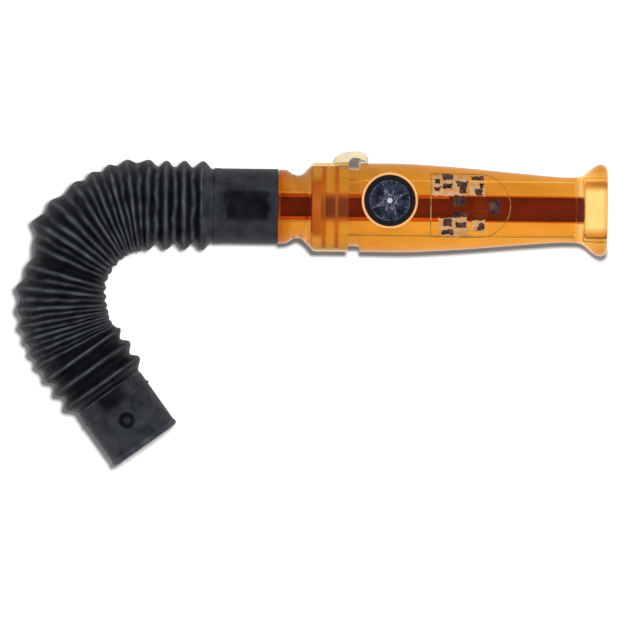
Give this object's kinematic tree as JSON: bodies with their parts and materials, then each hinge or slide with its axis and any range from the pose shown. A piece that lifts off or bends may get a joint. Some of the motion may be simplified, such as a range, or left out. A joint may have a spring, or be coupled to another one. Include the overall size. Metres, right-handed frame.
{
  "type": "grunt tube call",
  "caption": "Blown game call with an amber barrel, flared mouth, inset compass, lanyard loop, internal reed and a corrugated rubber sound tube that bends and stretches.",
  "frame": {"origin": "centre of the mouth opening, in the plane of the mouth's face", "axes": "+X out of the mouth along the barrel's axis, +Z out of the compass face, so the tube bends in XY towards -Y"},
  "size_m": [0.2312, 0.1249, 0.036],
  "materials": {
    "amber_plastic": "clear amber, glossy moulded",
    "pale_amber_plastic": "thin clear amber, glossy",
    "dark_red_plastic": "dark red moulded",
    "black_plastic": "satin black",
    "seal_rubber": "matt black nitrile",
    "cork": "natural cork",
    "reed_film": "clear polyester film",
    "lens_glass": "clear",
    "compass_dial": "dark blue card with pale marks",
    "magnet_steel": "plated",
    "brass": "turned",
    "tube_rubber": "charcoal, satin to matt"
  },
  "bodies": {
    "barrel": {"barrel": "amber_plastic", "tail_web": "amber_plastic", "seal_ring_front": "seal_rubber", "seal_ring_rear": "seal_rubber", "reed_tube": "dark_red_plastic", "sound_tube": "dark_red_plastic", "tone_board": "black_plastic", "reed_wedge": "cork", "compass_cup": "black_plastic", "compass_pivot": "brass", "compass_lens": "lens_glass", "compass_retainer": "black_plastic"},
    "compass_card": {"compass_card": "compass_dial", "compass_magnet": "magnet_steel", "compass_jewel": "brass"},
    "reed": {"reed": "reed_film"},
    "tuning_ring": {"tuning_ring": "seal_rubber"},
    "connector": {"tube_connector": "amber_plastic", "lanyard_loop": "pale_amber_plastic"},
    "hose_cuff": {"hose_near_cuff": "tube_rubber"},
    "hose_ring_01": {"hose_ring_01": "tube_rubber"},
    "hose_ring_02": {"hose_ring_02": "tube_rubber"},
    "hose_ring_03": {"hose_ring_03": "tube_rubber"},
    "hose_ring_04": {"hose_ring_04": "tube_rubber"},
    "hose_ring_05": {"hose_ring_05": "tube_rubber"},
    "hose_ring_06": {"hose_ring_06": "tube_rubber"},
    "hose_ring_07": {"hose_ring_07": "tube_rubber"},
    "hose_ring_08": {"hose_ring_08": "tube_rubber"},
    "hose_ring_09": {"hose_ring_09": "tube_rubber"},
    "hose_ring_10": {"hose_ring_10": "tube_rubber"},
    "hose_ring_11": {"hose_ring_11": "tube_rubber"},
    "hose_ring_12": {"hose_ring_12": "tube_rubber"},
    "hose_ring_13": {"hose_ring_13": "tube_rubber"},
    "hose_ring_14": {"hose_ring_14": "tube_rubber"},
    "hose_ring_15": {"hose_ring_15": "tube_rubber"},
    "hose_ring_16": {"hose_ring_16": "tube_rubber"},
    "hose_ring_17": {"hose_ring_17": "tube_rubber"},
    "hose_ring_18": {"hose_ring_18": "tube_rubber"},
    "hose_ring_19": {"hose_ring_19": "tube_rubber"},
    "hose_ring_20": {"hose_ring_20": "tube_rubber"},
    "hose_ring_21": {"hose_ring_21": "tube_rubber"},
    "far_cuff": {"hose_far_cuff": "tube_rubber"}
  },
  "joints": [
    {"name": "compass_turn", "type": "hinge", "parent": "barrel", "child": "compass_card", "pos_m": [-0.0853, 0.0027, 0.0149], "axis": [0, 0, 1], "continuous": true},
    {"name": "reed_flutter", "type": "hinge", "parent": "barrel", "child": "reed", "pos_m": [-0.0445, 0, -0.0002], "axis": [0, -1, 0], "range_deg": [0, 2.5], "stiffness_Nm_per_rad": 0.0002},
    {"name": "tuning_slide", "type": "slide", "parent": "barrel", "child": "tuning_ring", "axis": [1, 0, 0], "range_m": [-0.004, 0.006]},
    {"name": "connector_pull", "type": "slide", "parent": "barrel", "child": "connector", "axis": [-1, 0, 0], "range_m": [0, 0.02]},
    {"name": "hose_swivel", "type": "hinge", "parent": "connector", "child": "hose_cuff", "pos_m": [-0.1288, 0, 0], "axis": [1, 0, 0], "range_deg": [-180, 180]},
    {"name": "hose_stretch", "type": "slide", "parent": "hose_cuff", "child": "hose_ring_01", "axis": [-1, 0, 0], "range_m": [0, 0.003]},
    {"name": "hose_stretch_02", "type": "slide", "parent": "hose_ring_01", "child": "hose_ring_02", "axis": [-1, 0, 0], "range_m": [0, 0.003]},
    {"name": "hose_stretch_03", "type": "slide", "parent": "hose_ring_02", "child": "hose_ring_03", "axis": [-1, 0, 0], "range_m": [0, 0.003]},
    {"name": "hose_stretch_04", "type": "slide", "parent": "hose_ring_03", "child": "hose_ring_04", "axis": [-1, 0, 0], "range_m": [0, 0.003]},
    {"name": "hose_bend", "type": "hinge", "parent": "hose_ring_04", "child": "hose_ring_05", "pos_m": [-0.18386, 0.01441, 0], "axis": [0, 0, -1], "range_deg": [0, 8]},
    {"name": "hose_bend_06", "type": "hinge", "parent": "hose_ring_05", "child": "hose_ring_06", "pos_m": [-0.19128, 0.01327, 0], "axis": [0, 0, -1], "range_deg": [0, 8.02]},
    {"name": "hose_bend_07", "type": "hinge", "parent": "hose_ring_06", "child": "hose_ring_07", "pos_m": [-0.19793, 0.01101, 0], "axis": [0, 0, -1], "range_deg": [0, 8.02]},
    {"name": "hose_bend_08", "type": "hinge", "parent": "hose_ring_07", "child": "hose_ring_08", "pos_m": [-0.20416, 0.00783, 0], "axis": [0, 0, -1], "range_deg": [0, 9.02]},
    {"name": "hose_bend_09", "type": "hinge", "parent": "hose_ring_08", "child": "hose_ring_09", "pos_m": [-0.21089, 0.00278, 0], "axis": [0, 0, -1], "range_deg": [0, 11.02]},
    {"name": "hose_bend_10", "type": "hinge", "parent": "hose_ring_09", "child": "hose_ring_10", "pos_m": [-0.21778, -0.00447, 0], "axis": [0, 0, -1], "range_deg": [0, 12.02]},
    {"name": "hose_bend_11", "type": "hinge", "parent": "hose_ring_10", "child": "hose_ring_11", "pos_m": [-0.2228, -0.01235, 0], "axis": [0, 0, -1], "range_deg": [0, 10.02]},
    {"name": "hose_bend_12", "type": "hinge", "parent": "hose_ring_11", "child": "hose_ring_12", "pos_m": [-0.22586, -0.02033, 0], "axis": [0, 0, -1], "range_deg": [0, 9.02]},
    {"name": "hose_bend_13", "type": "hinge", "parent": "hose_ring_12", "child": "hose_ring_13", "pos_m": [-0.22765, -0.02889, 0], "axis": [0, 0, -1], "range_deg": [0, 10.02]},
    {"name": "hose_bend_14", "type": "hinge", "parent": "hose_ring_13", "child": "hose_ring_14", "pos_m": [-0.22802, -0.03747, 0], "axis": [0, 0, -1], "range_deg": [0, 9.02]},
    {"name": "hose_bend_15", "type": "hinge", "parent": "hose_ring_14", "child": "hose_ring_15", "pos_m": [-0.22737, -0.04482, 0], "axis": [0, 0, -1], "range_deg": [0, 7.02]},
    {"name": "hose_bend_16", "type": "hinge", "parent": "hose_ring_15", "child": "hose_ring_16", "pos_m": [-0.22611, -0.05063, 0], "axis": [0, 0, -1], "range_deg": [0, 6.02]},
    {"name": "hose_bend_17", "type": "hinge", "parent": "hose_ring_16", "child": "hose_ring_17", "pos_m": [-0.22428, -0.05579, 0], "axis": [0, 0, -1], "range_deg": [0, 6.02]},
    {"name": "hose_bend_18", "type": "hinge", "parent": "hose_ring_17", "child": "hose_ring_18", "pos_m": [-0.22196, -0.06054, 0], "axis": [0, 0, -1], "range_deg": [0, 5.02]},
    {"name": "hose_bend_19", "type": "hinge", "parent": "hose_ring_18", "child": "hose_ring_19", "pos_m": [-0.21873, -0.06521, 0], "axis": [0, 0, -1], "range_deg": [0, 8.02]},
    {"name": "hose_stretch_20", "type": "slide", "parent": "hose_ring_19", "child": "hose_ring_20", "axis": [0.5878, -0.809, 0], "range_m": [0, 0.003]},
    {"name": "hose_stretch_21", "type": "slide", "parent": "hose_ring_20", "child": "hose_ring_21", "axis": [0.5878, -0.809, 0], "range_m": [0, 0.003]},
    {"name": "hose_stretch_22", "type": "slide", "parent": "hose_ring_21", "child": "far_cuff", "axis": [0.5878, -0.809, 0], "range_m": [0, 0.003]}
  ],
  "couplings": [
    {"joint": "hose_stretch_02", "follows": "hose_stretch", "ratio": 1},
    {"joint": "hose_stretch_03", "follows": "hose_stretch", "ratio": 1},
    {"joint": "hose_stretch_04", "follows": "hose_stretch", "ratio": 1},
    {"joint": "hose_bend_06", "follows": "hose_bend", "ratio": 1},
    {"joint": "hose_bend_07", "follows": "hose_bend", "ratio": 1},
    {"joint": "hose_bend_08", "follows": "hose_bend", "ratio": 1.125},
    {"joint": "hose_bend_09", "follows": "hose_bend", "ratio": 1.375},
    {"joint": "hose_bend_10", "follows": "hose_bend", "ratio": 1.5},
    {"joint": "hose_bend_11", "follows": "hose_bend", "ratio": 1.25},
    {"joint": "hose_bend_12", "follows": "hose_bend", "ratio": 1.125},
    {"joint": "hose_bend_13", "follows": "hose_bend", "ratio": 1.25},
    {"joint": "hose_bend_14", "follows": "hose_bend", "ratio": 1.125},
    {"joint": "hose_bend_15", "follows": "hose_bend", "ratio": 0.875},
    {"joint": "hose_bend_16", "follows": "hose_bend", "ratio": 0.75},
    {"joint": "hose_bend_17", "follows": "hose_bend", "ratio": 0.75},
    {"joint": "hose_bend_18", "follows": "hose_bend", "ratio": 0.625},
    {"joint": "hose_bend_19", "follows": "hose_bend", "ratio": 1},
    {"joint": "hose_stretch_20", "follows": "hose_stretch", "ratio": 1},
    {"joint": "hose_stretch_21", "follows": "hose_stretch", "ratio": 1},
    {"joint": "hose_stretch_22", "follows": "hose_stretch", "ratio": 1}
  ]
}
